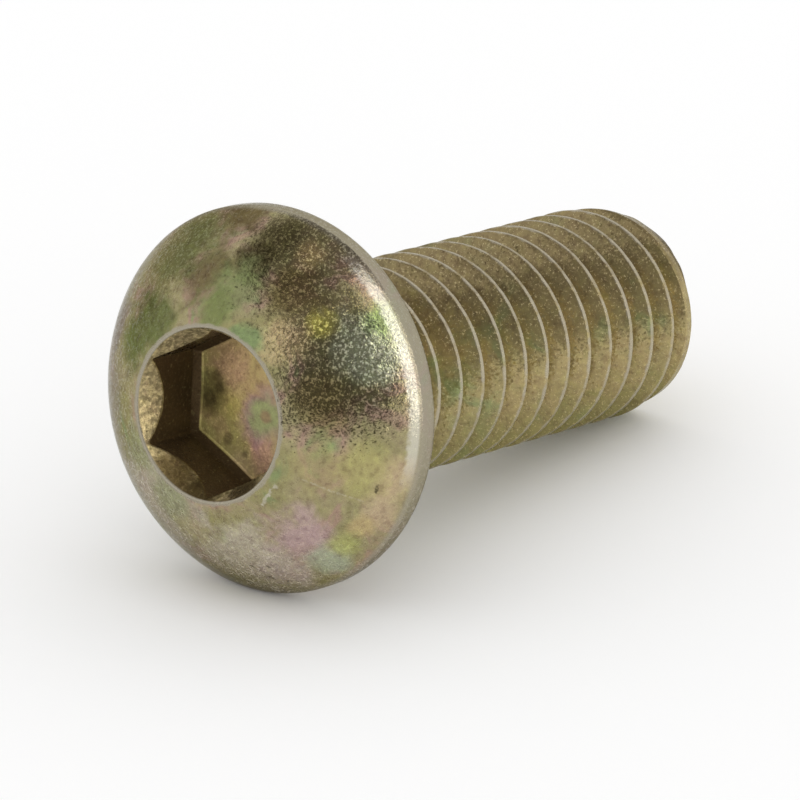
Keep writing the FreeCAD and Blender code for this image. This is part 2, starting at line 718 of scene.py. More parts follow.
HEAD_BLOOMS_AND_PAINTED_LIGHT = (
    ColourPatch((2.9, 1.6, -2.4), 2.1, tint(190, 180, 166)),
    ColourPatch((3.9, -0.9, -2.0), 1.7, tint(194, 184, 166)),
    ColourPatch((4.3, -1.9, -1.6), 1.0, tint(194, 180, 168), 0.7),
    ColourPatch((2.8, -2.73, -2.2), 1.05, tint(186, 160, 158), 0.9),
    ColourPatch((1.95, -4.5, -1.2), 0.7, tint(188, 168, 136), 0.85),
    ColourPatch((2.4, -4.05, -1.45), 0.5, tint(188, 168, 122), 0.85),
    ColourPatch((3.56, -3.12, -1.41), 0.75, tint(176, 182, 156), 0.9),
    ColourPatch((3.02, -3.59, -1.46), 0.55, tint(178, 180, 114)),
    ColourPatch((0.98, -4.81, -1.18), 0.8, tint(186, 166, 132)),
    ColourPatch((0.71, -4.2, -1.85), 0.9, tint(172, 164, 108), 0.7),
    ColourPatch((0.8, -3.3, -2.6), 0.9, tint(158, 146, 102), 0.6),
    ColourPatch((-2.4, -3.9, -1.65), 1.2, tint(202, 206, 178)),
    ColourPatch((-1.0, -3.3, -2.5), 1.0, tint(146, 128, 88), 0.75),
    ColourPatch((-3.5, -1.8, -2.2), 1.0, tint(138, 122, 80), 0.75),
    ColourPatch((-4.7, -0.6, -1.3), 0.8, tint(110, 102, 68), 0.75),
    ColourPatch((-4.5, -1.6, -1.4), 0.55, tint(214, 190, 140)),
    ColourPatch((-2.92, -2.64, -2.2), 0.5, tint(232, 222, 124), 0.9),
    ColourPatch((-3.54, 1.0, -2.36), 1.1, tint(100, 90, 58), 0.85),
    ColourPatch((-4.89, 1.0, -1.05), 0.9, tint(106, 92, 62), 0.9),
    ColourPatch((-4.09, -0.12, -2.1), 0.75, tint(84, 76, 50), 0.9),
    ColourPatch((-3.3, -0.1, -2.68), 1.0, tint(126, 136, 90)),
    ColourPatch((-2.79, 0.3, -2.99), 0.8, tint(118, 126, 78)),
    ColourPatch((-2.51, -2.1, -2.75), 0.8, tint(204, 182, 138)),
    ColourPatch((-1.75, 2.6, -2.7), 1.3, tint(98, 106, 62), 0.9),
    ColourPatch((-4.01, 2.1, -1.7), 1.3, tint(118, 120, 80), 0.9),
    ColourPatch((0.51, 4.2, -2.0), 1.5, tint(150, 138, 128), 0.6),
    ColourPatch((-1.38, 4.25, -1.7), 0.9, tint(134, 120, 112), 0.85),
    ColourPatch((1.53, 2.3, -3.0), 0.8, tint(146, 148, 110)),
    ColourPatch((2.62, 1.1, -2.9), 1.0, tint(140, 144, 106), 0.7),
    ColourPatch((-3.2, -3.9, -1.05), 0.75, tint(140, 160, 102), 0.75),
    ColourPatch((3.4, 0.6, -2.55), 0.7, tint(176, 166, 124), 0.6),
)

# Colour patches in the socket. The first three darken the lower side of the countersunk mouth:
# painted shade. The rest are drifts of the passivation on the floor, with a few small dark
# specks.
SOCKET_BLOOMS_AND_PAINTED_SHADE = (
    ColourPatch((1.9, 0.95, -2.95), 0.9, tint(116, 98, 62), 0.9),
    ColourPatch((2.2, 0.0, -2.9), 1.0, tint(92, 78, 48), 0.9),
    ColourPatch((1.9, -1.2, -2.9), 0.8, tint(84, 70, 46), 0.9),
    ColourPatch((-0.81, 0.98, -1.05), 0.75, tint(194, 156, 122), 0.7),
    ColourPatch((1.39, -0.34, -1.05), 0.65, tint(204, 156, 138), 0.7),
    ColourPatch((1.79, 0.3, -1.05), 0.5, tint(204, 180, 134)),
    ColourPatch((0.3, 0.75, -1.05), 0.6, tint(186, 170, 96), 0.7),
    ColourPatch((0.1, 1.5, -1.05), 0.7, tint(112, 100, 58)),
    ColourPatch((0.34, -0.22, -1.05), 0.95, tint(170, 126, 138), 0.85),
    ColourPatch((0.34, -0.3, -1.05), 0.68, tint(160, 168, 112), 0.9),
    ColourPatch((0.34, -0.34, -1.05), 0.2, tint(150, 116, 92), 0.7),
    ColourPatch((-0.45, 1.4, -1.05), 0.2, tint(84, 70, 42), 0.65),
    ColourPatch((-0.1, 1.25, -1.05), 0.18, tint(78, 66, 40), 0.65),
    ColourPatch((0.25, 1.5, -1.05), 0.24, tint(84, 72, 44), 0.65),
    ColourPatch((1.2, 0.8, -1.05), 0.18, tint(88, 72, 48), 0.55),
    ColourPatch((1.5, 0.2, -1.05), 0.16, tint(92, 74, 54), 0.55),
)


def on_dome(across: float, aside: float) -> Vector:
    """Finds a place on the head's dome.

    Args:
        across: how far it is down from the screw's axis.
        aside: how far it is to the side.

    Returns: the point.
    """
    centre, size = ButtonHead().dome_arc()
    return Vector((across, aside, centre - math.sqrt(size**2 - across**2 - aside**2)))


def drawn(start: tuple, end: tuple, width: float, colour: tuple, strength: float) -> list:
    """A scratch that follows the dome, as short straight pieces.

    Args:
        start: where it starts, across the screw's axis.
        end: where it ends.
        width: its half width in millimetres.
        colour: what it shows.
        strength: how far it covers the plating.

    Returns: the pieces.
    """
    longest = 0.35
    first, last = Vector(start), Vector(end)
    pieces = max(1, round((last - first).length / longest))
    stops = [on_dome(*first.lerp(last, step / pieces)) for step in range(pieces + 1)]
    pairs = zip(stops, stops[1:])
    return [Scratch(tuple(one), tuple(two), width, colour, strength) for one, two in pairs]


HEAD_SCRATCHES = (
    *drawn((2.02, -1.92), (1.42, -2.3), 0.08, tint(188, 182, 164), 0.65),
    *drawn((1.1, -2.9), (1.62, -4.2), 0.04, tint(186, 178, 150), 0.4),
    *drawn((1.15, -4.5), (1.34, -4.46), 0.07, tint(58, 52, 38), 0.8),
    *drawn((4.15, -0.95), (4.22, -1.02), 0.06, tint(62, 56, 42), 0.7),
    *drawn((4.45, -1.3), (4.5, -1.4), 0.06, tint(62, 56, 42), 0.7),
    *drawn((4.05, -1.45), (4.1, -1.5), 0.05, tint(62, 56, 42), 0.7),
    *drawn((4.5, -1.75), (4.55, -1.7), 0.05, tint(62, 56, 42), 0.6),
)


OLIVE_CAST = (
    (0.25, tint(128, 142, 98)),
    (0.40, tint(150, 143, 102)),
    (0.52, tint(158, 148, 112)),
    (0.62, tint(166, 141, 122)),
    (0.75, tint(138, 150, 104)),
)
GOLD_CAST = (
    (0.28, tint(148, 156, 108)),
    (0.45, tint(168, 154, 108)),
    (0.58, tint(176, 158, 112)),
    (0.72, tint(160, 150, 98)),
)
FLOOR_CAST = (
    (0.28, tint(172, 168, 104)),
    (0.45, tint(188, 174, 110)),
    (0.58, tint(194, 170, 116)),
    (0.72, tint(184, 156, 112)),
)


@dataclass(frozen=True)
class Spot:
    """Where the surface is, in millimetres on the screw's own axis, as sockets."""

    where: Socket
    down: Socket
    aside: Socket
    height: Socket
    off_axis: Socket


@dataclass(frozen=True)
class Plating:
    """Yellow passivated zinc over cold-formed steel, as one zone of the screw shows it.

    Sizes are in millimetres. A pair of numbers is where an effect starts and where it is full,
    and a sway's pair is the size of its clouds and how far they reach.
    """

    name: str
    cast: tuple
    pale: tuple = tint(160, 153, 136)
    edge_tint: tuple = (0.55, 0.53, 0.47)
    roughness: float = 0.24
    roughness_drift: float = 0.16
    roughness_size: float = 0.3
    dullness: float = 0.0
    cast_size: float = 1.6
    blooms_and_painted_light: tuple = ()
    patch_edge: tuple = (1.15, 0.35)
    patch_sway: tuple = (0.9, 1.6)
    mottle_size: float = 0.22
    mottle: tuple = ((0.3, (0.76, 0.72, 0.75)), (0.5, (1.0,) * 3), (0.72, (1.16, 1.2, 1.12)))
    scratches: tuple = ()
    scratch_edge: float = 0.3
    scratch_sway: tuple = (0.13, 2.4)
    scratch_gap_size: float = 0.09
    scratch_gaps: tuple = (0.35, 0.5)
    pit: tuple = tint(66, 56, 32)
    pit_size: float = 0.075
    pit_share: float = 0.29
    pit_edge: float = 0.08
    pit_strength: float = 0.75
    fleck_size: float = 0.09
    fleck_cover: tuple = (0.51, 0.62)
    fleck_share: float = 0.66
    fleck_glint: float = 0.0
    glint: tuple = tint(212, 196, 150)
    grit_size: float = 0.07
    grit_depth: float = 0.008
    swell_size: float = 0.45
    swell_share: float = 1.4
    facet_size: float = 0.07
    facet_tilt: float = 0.24
    facet_patch_size: float = 0.12
    facet_patches: tuple = (0.3, 0.5)
    calm_rim: tuple = (4.6, 4.95)
    calm_share: float = 0.7
    place: RestingPlace = RestingPlace()

    def spot(self, bench: Bench) -> Spot:
        """Finds the surface's place on the screw's own axis.

        Args:
            bench: where the nodes are added.

        Returns: the place, in several measures.
        """
        found = bench.node("ShaderNodeTexCoord")
        back = bench.node("ShaderNodeMapping", vector_type="POINT")
        back.inputs["Scale"].default_value = (1 / MM,) * 3
        back.inputs["Rotation"].default_value = (0.0, -self.place.turn, 0.0)
        back.inputs["Location"].default_value = self.place.back_shift()
        bench.feed(back.inputs["Vector"], found.outputs["Object"])
        where = back.outputs["Vector"]
        down, aside, height = bench.split(where)
        squares = [bench.sum("MULTIPLY", side, side) for side in (down, aside)]
        off_axis = bench.sum("SQRT", bench.sum("ADD", *squares))
        return Spot(where, down, aside, height, off_axis)

    def drifted(self, bench: Bench, spot: Spot, cast: tuple) -> Socket:
        """A colour that drifts slowly.

        Args:
            bench: where the nodes are added.
            spot: the surface's place.
            cast: the stops that it drifts along.

        Returns: the colour.
        """
        return bench.ramp(bench.grain(spot.where, self.cast_size, 3.0, 0.55, 0.6), cast)

    def ground(self, bench: Bench, spot: Spot) -> Socket:
        """Returns: the slowly drifting colour that lies under the colour patches."""
        return self.drifted(bench, spot, self.cast)

    def patched_over(self, bench: Bench, spot: Spot, colour: Socket) -> Socket:
        """Lays this zone's colour patches over a colour: passivation drifts, and some painted
        light and shade.

        Args:
            bench: where the nodes are added.
            spot: the surface's place.
            colour: the colour so far.

        Returns: the colour with the patches.
        """
        sway = bench.sway(spot.where, *self.patch_sway, warp=0.4)
        for one_patch in self.blooms_and_painted_light:
            gap = bench.vector("DISTANCE", spot.where, one_patch.place)
            ragged = bench.sum("ADD", bench.sum("DIVIDE", gap, one_patch.radius), sway)
            share = bench.product(bench.ease(ragged, *self.patch_edge), one_patch.strength)
            colour = bench.blend(share, colour, one_patch.colour)
        return colour

    def scratched(self, bench: Bench, spot: Spot, colour: Socket) -> Socket:
        """Draws this zone's scratches on a colour.

        Args:
            bench: where the nodes are added.
            spot: the surface's place.
            colour: the colour so far.

        Returns: the colour with the scratches.
        """
        broken = bench.grain(spot.where, self.scratch_gap_size, 1.0)
        whole = bench.ease(broken, *self.scratch_gaps)
        sway = bench.sway(spot.where, *self.scratch_sway, 2.0, 0.5)
        for line in self.scratches:
            run = Vector(line.end) - Vector(line.start)
            from_start = bench.vector("SUBTRACT", spot.where, line.start)
            along = bench.vector("DOT_PRODUCT", from_start, tuple(run / run.length_squared))
            along = bench.sum("ADD", along, 0.0, clamp=True)
            gap = bench.vector("DISTANCE", from_start, bench.scaled(run, along))
            gap = bench.sum("ADD", gap, bench.product(sway, line.width))
            share = bench.ease(gap, line.width, line.width * self.scratch_edge)
            share = bench.product(share, whole, line.strength)
            colour = bench.blend(share, colour, line.colour)
        return colour

    def flecks(self, bench: Bench, spot: Spot) -> Socket:
        """Returns: the share of tiny matt grains."""
        grains = bench.grain(spot.where, self.fleck_size, 3.0, 0.75)
        return bench.ease(grains, *self.fleck_cover)

    def worn_edges(self, bench: Bench, spot: Spot) -> Socket:
        """Returns: how far the edges of this zone are rubbed pale, as a share."""
        return 0.0

    def paint(self, bench: Bench, spot: Spot) -> Socket:
        """Colours the whole zone.

        Args:
            bench: where the nodes are added.
            spot: the surface's place.

        Returns: the plating's colour.
        """
        colour = self.patched_over(bench, spot, self.ground(bench, spot))
        clouds = bench.ramp(bench.grain(spot.where, self.mottle_size, 3.0, 0.65), self.mottle)
        colour = bench.blend(1.0, colour, clouds, "MULTIPLY")
        colour = self.scratched(bench, spot, colour)
        # Painted glints: a pale colour painted on the matt grains, standing in for their
        # sparkle.
        if self.fleck_glint:
            glints = bench.product(self.flecks(bench, spot), self.fleck_glint)
            colour = bench.blend(glints, colour, self.glint)
        colour = bench.blend(self.worn_edges(bench, spot), colour, self.pale)
        pores = bench.grain(spot.where, self.pit_size, 2.0, 0.7)
        pits = bench.ease(pores, self.pit_share, self.pit_share - self.pit_edge)
        return bench.blend(bench.product(pits, self.pit_strength), colour, self.pit)

    def dull_share(self, bench: Bench, spot: Spot) -> Socket:
        """Returns: how matt the plating is between its grains."""
        return self.dullness

    def metal_share(self, bench: Bench, spot: Spot) -> Socket:
        """How bare the metal shines through the plating.

        Args:
            bench: where the nodes are added.
            spot: the surface's place.

        Returns: the share of bare metal.
        """
        bare = bench.sum("SUBTRACT", 1.0, self.dull_share(bench, spot))
        grains = bench.product(self.flecks(bench, spot), self.fleck_share)
        return bench.product(bare, bench.sum("SUBTRACT", 1.0, grains))

    def relief(self, bench: Bench, spot: Spot) -> Socket:
        """Roughens the surface with the plating's fine grit and its tiny facets.

        Args:
            bench: where the nodes are added.
            spot: the surface's place.

        Returns: the surface normal.
        """
        grit = bench.grain(spot.where, self.grit_size, 3.0, 0.6)
        swell = bench.product(bench.grain(spot.where, self.swell_size), self.swell_share)
        bump = bench.node("ShaderNodeBump")
        bump.inputs["Strength"].default_value = 1.0
        bump.inputs["Distance"].default_value = self.grit_depth * MM
        bench.feed(bump.inputs["Height"], bench.sum("ADD", grit, swell))
        cells = bench.node("ShaderNodeTexVoronoi", feature="F1")
        bench.feed(cells.inputs["Vector"], spot.where)
        bench.feed(cells.inputs["Scale"], 1.0 / self.facet_size)
        lot = cells.outputs["Color"]
        patch = bench.grain(spot.where, self.facet_patch_size, 1.0)
        lively = bench.sum(
            "MULTIPLY_ADD", bench.ease(spot.off_axis, *self.calm_rim), -self.calm_share, 1.0
        )
        amount = bench.product(
            bench.split(lot)[2], bench.ease(patch, *self.facet_patches), lively, self.facet_tilt
        )
        lean = bench.scaled(bench.vector("SUBTRACT", lot, (0.5, 0.5, 0.5)), amount)
        return bench.vector("NORMALIZE", bench.vector("ADD", bump.outputs["Normal"], lean))

    def dress(self) -> bpy.types.Material:
        """Returns: the finished material."""
        material, bench = new_material(self.name)
        spot = self.spot(bench)
        metal = bench.node("ShaderNodeBsdfPrincipled")
        metal.inputs["Specular Tint"].default_value = (*self.edge_tint, 1.0)
        cloud = bench.grain(spot.where, self.roughness_size)
        smoothest = self.roughness - self.roughness_drift / 2
        rough = bench.sum("MULTIPLY_ADD", cloud, self.roughness_drift, smoothest)
        bench.feed(metal.inputs["Metallic"], self.metal_share(bench, spot))
        bench.feed(metal.inputs["Base Color"], self.paint(bench, spot))
        bench.feed(metal.inputs["Roughness"], rough)
        bench.feed(metal.inputs["Normal"], self.relief(bench, spot))
        bench.finish(metal.outputs["BSDF"])
        return material


@dataclass(frozen=True)
class HeadPlating(Plating):
    """The head's plating: rubbed pale at the rim and lip, with a painted highlight on one side.
    """

    rim: tuple = (5.12, 5.22)
    rim_share: float = 0.8
    lip: tuple = (2.485, 2.425)
    lip_share: float = 0.85
    lip_sway: tuple = (0.25, 0.14)
    # The rubbed colour is a near-white painted highlight, laid in an arc over the rubbed rim
    # only on the side where the strip light's highlight falls.
    rubbed: tuple = tint(222, 218, 204)
    highlight_share: float = 0.6
    highlight_inner: tuple = (4.96, 5.06)
    highlight_outer: tuple = (5.2, 5.15)
    highlight_aside: tuple = (-2.0, -2.9)
    highlight_down: tuple = (1.5, 0.1)
    highlight_sway: tuple = (0.2, 0.16)
    neck_across: tuple = (3.5, 3.1)
    neck_along: tuple = (-0.5, 0.0)
    neck_dullness: float = 0.3

    def dull_share(self, bench: Bench, spot: Spot) -> Socket:
        """How matt the plating is: only at the neck, like the shank beside it.

        Args:
            bench: where the nodes are added.
            spot: the surface's place.

        Returns: the matt share.
        """
        across = bench.ease(spot.off_axis, *self.neck_across)
        along = bench.ease(spot.height, *self.neck_along)
        return bench.product(across, along, self.neck_dullness)

    def worn_edges(self, bench: Bench, spot: Spot) -> Socket:
        """Where the rim and the lip are rubbed pale.

        Args:
            bench: where the nodes are added.
            spot: the surface's place.

        Returns: the rubbed share.
        """
        rim = bench.product(bench.ease(spot.off_axis, *self.rim), self.rim_share)
        sway = bench.sway(spot.where, *self.lip_sway, rough=0.5)
        lip = bench.ease(bench.sum("ADD", spot.off_axis, sway), *self.lip)
        return bench.sum("MAXIMUM", rim, bench.product(lip, self.lip_share))

    def paint(self, bench: Bench, spot: Spot) -> Socket:
        """Adds a painted highlight: a near-white arc along one side of the rim, over its rubbed
        edge.

        Args:
            bench: where the nodes are added.
            spot: the surface's place.

        Returns: the head's colour.
        """
        colour = Plating.paint(self, bench, spot)
        sway = bench.sway(spot.where, *self.highlight_sway)
        arc = bench.product(
            bench.ease(bench.sum("ADD", spot.off_axis, sway), *self.highlight_inner),
            bench.ease(spot.off_axis, *self.highlight_outer),
            bench.ease(spot.aside, *self.highlight_aside),
            bench.ease(spot.down, *self.highlight_down),
            self.highlight_share,
        )
        return bench.blend(arc, colour, self.rubbed)


@dataclass(frozen=True)
class ThreadPlating(Plating):
    """The thread's plating: painted shade on top, painted light underneath, crests rubbed pale.
    """

    # The next two colours are painted shade on the upper side of the lying screw and painted
    # light on its lower side.
    above: tuple = tint(128, 112, 80)
    shade_above_from: tuple = (-0.6, -2.4)
    shade_above_share: float = 0.75
    painted_light_below: tuple = tint(158, 154, 98)
    light_below_from: tuple = (0.6, 2.4)
    light_below_share: float = 0.6
    side_sway: tuple = (0.9, 3.0)
    neck_cast: tuple = OLIVE_CAST
    neck_along: tuple = (1.5, 0.6)
    crest: tuple = (2.945, 2.99)
    crest_sway: tuple = (0.35, 0.13)
    crest_start: tuple = (1.6, 2.2)
    tip_along: tuple = (15.5, 15.65)
    tip_across: tuple = (2.35, 2.5)
    worn_share: float = 0.75

    def ground(self, bench: Bench, spot: Spot) -> Socket:
        """The colour under the colour patches changes round the shank: it is browner on the
        upper side, as painted shade, and paler and greener underneath, as painted light.

        Up to the neck it drifts into the head's own colour.

        Args:
            bench: where the nodes are added.
            spot: the surface's place.

        Returns: the colour.
        """
        down = bench.sum("ADD", spot.down, bench.sway(spot.where, *self.side_sway))
        above = bench.product(bench.ease(down, *self.shade_above_from), self.shade_above_share)
        painted_light_below = bench.product(bench.ease(down, *self.light_below_from), self.light_below_share)
        colour = bench.blend(above, self.drifted(bench, spot, self.cast), self.above)
        colour = bench.blend(painted_light_below, colour, self.painted_light_below)
        neck = bench.ease(spot.height, *self.neck_along)
        return bench.blend(neck, colour, self.drifted(bench, spot, self.neck_cast))

    def worn_edges(self, bench: Bench, spot: Spot) -> Socket:
        """Where the crests and the edge of the tip's end are rubbed pale.

        Args:
            bench: where the nodes are added.
            spot: the surface's place.

        Returns: the rubbed share.
        """
        sway = bench.sway(spot.where, *self.crest_sway)
        crest = bench.ease(bench.sum("ADD", spot.off_axis, sway), *self.crest)
        crest = bench.product(crest, bench.ease(spot.height, *self.crest_start))
        tip = bench.ease(spot.height, *self.tip_along)
        tip = bench.product(tip, bench.ease(spot.off_axis, *self.tip_across))
        return bench.product(bench.sum("MAXIMUM", crest, tip), self.worn_share)


@dataclass(frozen=True)
class SocketPlating(Plating):
    """The socket's plating: a pale lip, a golden mouth, and painted shade down the walls."""

    dullness: float = 0.6
    lip: tuple = (-3.13, -3.17)
    cone: tuple = tint(198, 180, 134)
    cone_across: tuple = (2.40, 2.37)
    cone_bottom: tuple = (-2.4, -2.45)
    cone_top: tuple = (-3.17, -3.12)
    cone_gloss: float = 0.15
    cone_fleck_size: float = 0.16
    cone_flecks: tuple = ((0.35, (0.55,) * 3), (0.65, (1.2,) * 3))
    wall_bottom: tuple = (-1.07, -1.1)
    wall_top: tuple = (-3.16, -3.1)
    # Painted shade on the socket's walls, with paler spots that break it up.
    wall_shade: tuple = tint(80, 64, 42)
    shade_gap: tuple = tint(128, 114, 78)
    shade_gap_size: float = 0.13
    shade_gap_cover: tuple = (0.6, 0.7)
    shade_gap_share: float = 0.5

    def on_cone(self, bench: Bench, spot: Spot) -> Socket:
        """Tells the countersunk mouth from the walls and the floor.

        Args:
            bench: where the nodes are added.
            spot: the surface's place.

        Returns: a share that is 1 on the mouth's cone.
        """
        slope = math.tan(math.radians(KeySocket().mouth_half_angle))
        top = ButtonHead().height * slope
        inwards = bench.sum("MULTIPLY_ADD", spot.height, slope, top)
        return bench.product(
            bench.ease(bench.sum("ADD", spot.off_axis, inwards), *self.cone_across),
            bench.ease(spot.height, *self.cone_bottom),
            bench.ease(spot.height, *self.cone_top),
        )

    def worn_edges(self, bench: Bench, spot: Spot) -> Socket:
        """Returns: the share of pale rubbed plating on the lip."""
        return bench.ease(spot.height, *self.lip)

    def ground(self, bench: Bench, spot: Spot) -> Socket:
        """The colour under the blooms is golden on the mouth.

        Args:
            bench: where the nodes are added.
            spot: the surface's place.

        Returns: the colour.
        """
        colour = Plating.ground(self, bench, spot)
        cloud = bench.grain(spot.where, self.cone_fleck_size, 3.0)
        cone = bench.blend(1.0, self.cone, bench.ramp(cloud, self.cone_flecks), "MULTIPLY")
        return bench.blend(self.on_cone(bench, spot), colour, cone)

    def paint(self, bench: Bench, spot: Spot) -> Socket:
        """Adds painted shade down the walls, broken by paler spots.

        Args:
            bench: where the nodes are added.
            spot: the surface's place.

        Returns: the socket's colour.
        """
        colour = Plating.paint(self, bench, spot)
        walls = bench.product(
            bench.ease(spot.height, *self.wall_bottom),
            bench.ease(spot.height, *self.wall_top),
            bench.sum("SUBTRACT", 1.0, self.on_cone(bench, spot)),
        )
        cloud = bench.grain(spot.where, self.shade_gap_size, 3.0, 0.6)
        shade_gaps = bench.product(bench.ease(cloud, *self.shade_gap_cover), self.shade_gap_share)
        return bench.blend(walls, colour, bench.blend(shade_gaps, self.wall_shade, self.shade_gap))

    def dull_share(self, bench: Bench, spot: Spot) -> Socket:
        """Returns: how matt the plating is: less on the mouth than down the hole."""
        cone = self.on_cone(bench, spot)
        return bench.sum("MULTIPLY_ADD", cone, -self.cone_gloss, self.dullness)


@dataclass
class ButtonHeadScrew:
    """The whole screw: head, socket and threaded shank in one closed mesh."""

    name: str = "button_head_screw"
    sharp_deg: float = 24.0
    swell_depth: float = 0.006
    swell_pace: float = 1.3
    nick_depth: float = 0.016
    nick_pace: float = 3.1
    nick_from: tuple = (0.5, 2.9)
    wall_depth: float = 0.012
    wall_pace: float = 4.0
    wall_reach: tuple = (-3.2, -1.2, 2.3)
    place: RestingPlace = RestingPlace()

    def close_neck(self, mesh: bmesh.types.BMesh) -> None:
        """Joins the head's neck to the start of the shank."""
        rims = [edge for edge in mesh.edges if edge.is_boundary]
        bmesh.ops.bridge_loops(mesh, edges=rims)

    def weather(self, mesh: bmesh.types.BMesh) -> None:
        """Gives the surface the slight unevenness of a formed and tumbled screw.

        The thread's crests are nicked a little deeper, and the socket's walls are rougher.

        Args:
            mesh: the whole screw.
        """
        mesh.normal_update()
        above, outside = self.nick_from
        top, bottom, inside = self.wall_reach
        moves = []
        for vert in mesh.verts:
            spot = vert.co
            off_axis = math.hypot(spot.x, spot.y)
            swell = 0.5 + 0.5 * noise.noise(spot * self.swell_pace)
            depth = self.swell_depth * swell
            if spot.z > above and off_axis > outside:
                nick = noise.noise(spot * self.nick_pace + Vector((7.0, 0.0, 0.0)))
                depth += self.nick_depth * max(0.0, nick)
            if off_axis < inside and top < spot.z < bottom:
                depth += self.wall_depth * noise.noise(spot * self.wall_pace)
            moves.append(vert.normal * -depth)
        for vert, move in zip(mesh.verts, moves):
            vert.co += move

    def shade(self, mesh: bmesh.types.BMesh) -> None:
        """Smooths the faces and keeps the real edges crisp.

        Args:
            mesh: the whole screw.
        """
        limit = math.radians(self.sharp_deg)
        for face in mesh.faces:
            face.smooth = True
        for edge in mesh.edges:
            edge.smooth = edge.calc_face_angle(math.pi) < limit

    def build(self) -> bpy.types.Object:
        """Returns: the dressed screw, lying in its place in the frame."""
        mesh = bmesh.new()
        ThreadedShank().build(mesh)
        ButtonHead().build(mesh)
        KeySocket().build(mesh)
        bmesh.ops.remove_doubles(mesh, verts=mesh.verts[:], dist=SAME_POINT)
        self.close_neck(mesh)
        bmesh.ops.recalc_face_normals(mesh, faces=mesh.faces[:])
        if mesh.calc_volume(signed=True) < 0:
            bmesh.ops.reverse_faces(mesh, faces=mesh.faces[:])
        self.weather(mesh)
        self.shade(mesh)
        open_edges = sum(1 for edge in mesh.edges if not edge.is_manifold)
        log.info("screw: %d faces, %d open edges", len(mesh.faces), open_edges)
        log.info("volume %.1f cubic mm", mesh.calc_volume())
        bmesh.ops.transform(mesh, matrix=self.place.to_frame(), verts=mesh.verts[:])
        data = bpy.data.meshes.new(self.name)
        mesh.to_mesh(data)
        mesh.free()
        for finish in self.finishes():
            data.materials.append(finish.dress())
        piece = bpy.data.objects.new(self.name, data)
        bpy.context.scene.collection.objects.link(piece)
        return piece

    def finishes(self) -> tuple:
        """Returns: the finish of each zone, in the order of the zones."""
        thread = ThreadPlating(
            "thread_plating",
            GOLD_CAST,
            pale=tint(180, 172, 154),
            roughness=0.2,
            dullness=0.38,
            pit_share=0.26,
            fleck_size=0.075,
            fleck_cover=(0.56, 0.67),
            fleck_glint=0.6,
            grit_depth=0.005,
            facet_size=0.06,
            facet_tilt=0.3,
        )
        head = HeadPlating(
            "head_plating",
            OLIVE_CAST,
            roughness=0.13,
            blooms_and_painted_light=HEAD_BLOOMS_AND_PAINTED_LIGHT,
            scratches=HEAD_SCRATCHES,
        )
        socket = SocketPlating(
            "socket_plating",
            FLOOR_CAST,
            edge_tint=(0.22, 0.19, 0.14),
            blooms_and_painted_light=SOCKET_BLOOMS_AND_PAINTED_SHADE,
            grit_depth=0.006,
            facet_tilt=0.2,
        )
        return (thread, head, socket)


@dataclass(frozen=True)
class Card:
    """A flat studio card with soft edges, turned towards the screw.

    Its bearing runs in degrees from +X towards +Y, and its rise is the height above the
    horizon. Its colour is 1 where it is as white as the surroundings. A patchy card is
    darker and brighter in places, as a room full of things is.
    """

    name: str
    bearing: float
    rise: float
    half_width_deg: float
    half_height_deg: float
    colour: tuple
    soft: float = 0.25
    away: float = 1.6
    patchy: bool = False
    patch_size: float = 0.2
    patches: tuple = ((0.38, (0.25,) * 3), (0.5, (1.0,) * 3), (0.62, (4.0,) * 3))

    def size(self) -> tuple:
        """Returns: the card's width and height in metres."""
        halves = (self.half_width_deg, self.half_height_deg)
        return tuple(2 * self.away * math.tan(math.radians(half)) for half in halves)

    def spot(self) -> Matrix:
        """Returns: the matrix that sets the card up, facing the screw."""
        east, up = math.radians(self.bearing), math.radians(self.rise)
        level = Vector((math.cos(east), math.sin(east), 0.0))
        towards = level * math.cos(up) + Vector((0.0, 0.0, math.sin(up)))
        aside = Vector((math.sin(east), -math.cos(east), 0.0))
        facing = Matrix((aside, -towards.cross(aside), -towards)).transposed().to_4x4()
        return Matrix.Translation(towards * self.away) @ facing

    def glow(self) -> bpy.types.Material:
        """Returns: the card's material, which fades out towards its edges."""
        material, bench = new_material(self.name)
        where = bench.node("ShaderNodeTexCoord").outputs["Object"]
        spot = self.spot()
        from_centre = bench.vector("SUBTRACT", where, tuple(spot.to_translation()))
        fades = []
        for side, size in zip((0, 1), self.size()):
            arm = tuple(spot.col[side].to_3d() * (2 / size))
            out = bench.sum("ABSOLUTE", bench.vector("DOT_PRODUCT", from_centre, arm))
            fades.append(bench.ease(out, 1.0, 1.0 - self.soft))
        glow = bench.node("ShaderNodeEmission")
        glow.inputs["Color"].default_value = (*self.colour, 1.0)
        if self.patchy:
            cloud = bench.grain(where, self.patch_size, 2.0, 0.6)
            bench.feed(glow.inputs["Strength"], bench.ramp(cloud, self.patches))
        mix = bench.node("ShaderNodeMixShader")
        bench.feed(mix.inputs[0], bench.product(*fades))
        bench.feed(mix.inputs[1], bench.node("ShaderNodeBsdfTransparent").outputs[0])
        bench.feed(mix.inputs[2], glow.outputs[0])
        bench.finish(mix.outputs[0])
        return material


DARK = (0.12, 0.12, 0.11)
SOOT = (0.17, 0.16, 0.15)
GREY = (0.66, 0.65, 0.60)
LAMP = (5.0, 4.9, 4.7)
CARDS = (
    Card("dark_card_behind_camera", -136.0, 24.0, 35.0, 37.0, DARK, soft=0.15, patchy=True),
    Card("dark_card_overhead", 125.0, 87.0, 36.0, 35.0, SOOT, soft=0.3, patchy=True),
    Card("grey_card_left", 74.0, 16.0, 24.0, 24.0, GREY, soft=0.5),
    Card("strip_box_right", -99.5, 36.0, 2.4, 40.0, LAMP, soft=0.15, away=1.3),
)


